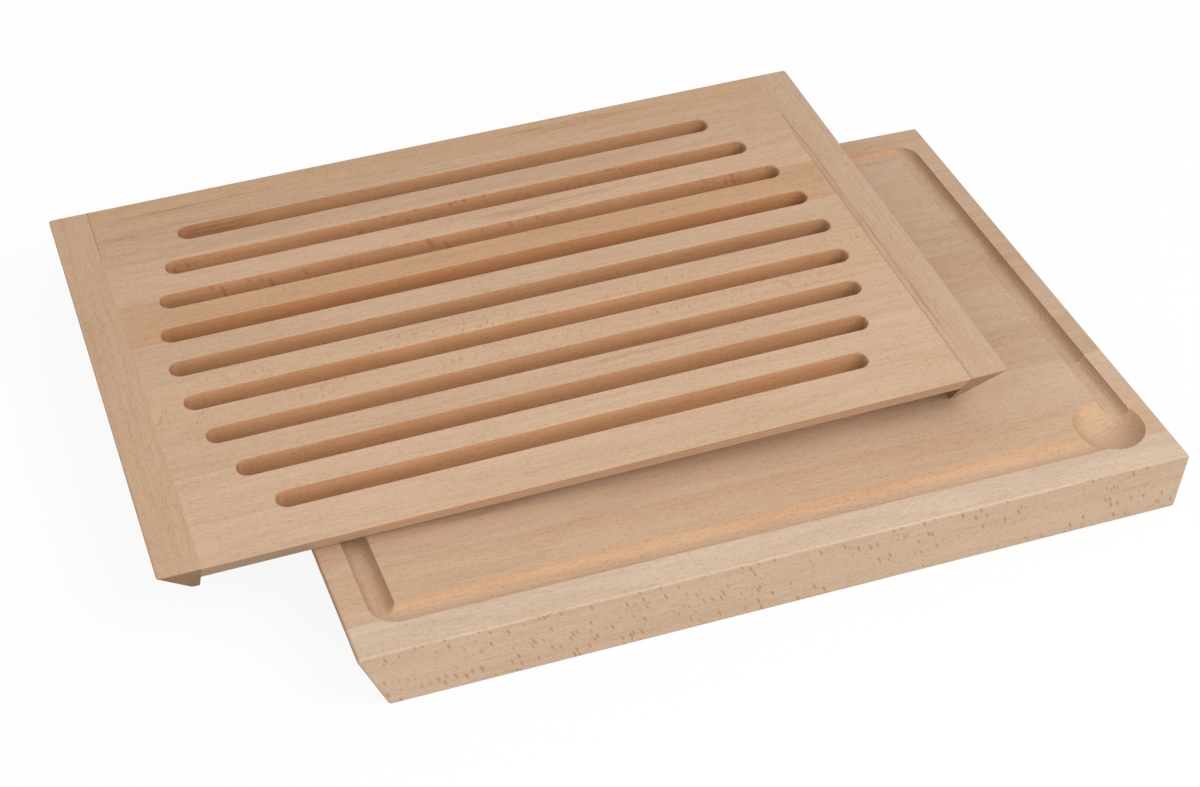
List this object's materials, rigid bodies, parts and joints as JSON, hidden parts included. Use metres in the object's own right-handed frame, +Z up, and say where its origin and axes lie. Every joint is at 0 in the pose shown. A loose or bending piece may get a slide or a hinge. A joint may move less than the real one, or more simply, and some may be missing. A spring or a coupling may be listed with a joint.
{
  "type": "bread board with crumb catcher",
  "caption": "Beech bread board in two loose pieces: a slatted cutting grille on battens over a thick tray board with a crumb groove and a collecting well.",
  "frame": {"origin": "middle of the tray board's underside", "axes": "+X along the grain to the right, +Y to the back, +Z up"},
  "size_m": [0.5612, 0.3891, 0.0709],
  "materials": {
    "tray_beech": "sanded, unvarnished beech, grain along X",
    "grille_beech": "sanded, unvarnished beech, grain along X",
    "batten_beech": "sanded, unvarnished beech, grain along Y"
  },
  "bodies": {
    "tray": {"tray_stave_01": "tray_beech", "tray_stave_02": "tray_beech", "tray_stave_03": "tray_beech", "tray_stave_04": "tray_beech", "tray_stave_05": "tray_beech", "tray_stave_06": "tray_beech", "tray_stave_07": "tray_beech", "tray_stave_08": "tray_beech", "tray_stave_09": "tray_beech", "tray_stave_10": "tray_beech"},
    "grille": {"grille_stave_1": "grille_beech", "grille_stave_2": "grille_beech", "grille_stave_3": "grille_beech", "grille_stave_4": "grille_beech", "grille_stave_5": "grille_beech", "grille_stave_6": "grille_beech", "grille_stave_7": "grille_beech", "grille_stave_8": "grille_beech", "grille_stave_9": "grille_beech", "left_batten": "batten_beech", "right_batten": "batten_beech"}
  },
  "joints": [
    {"name": "grille_lift", "type": "slide", "parent": "tray", "child": "grille", "axis": [0, 0, 1], "range_m": [0, 0.12]}
  ]
}
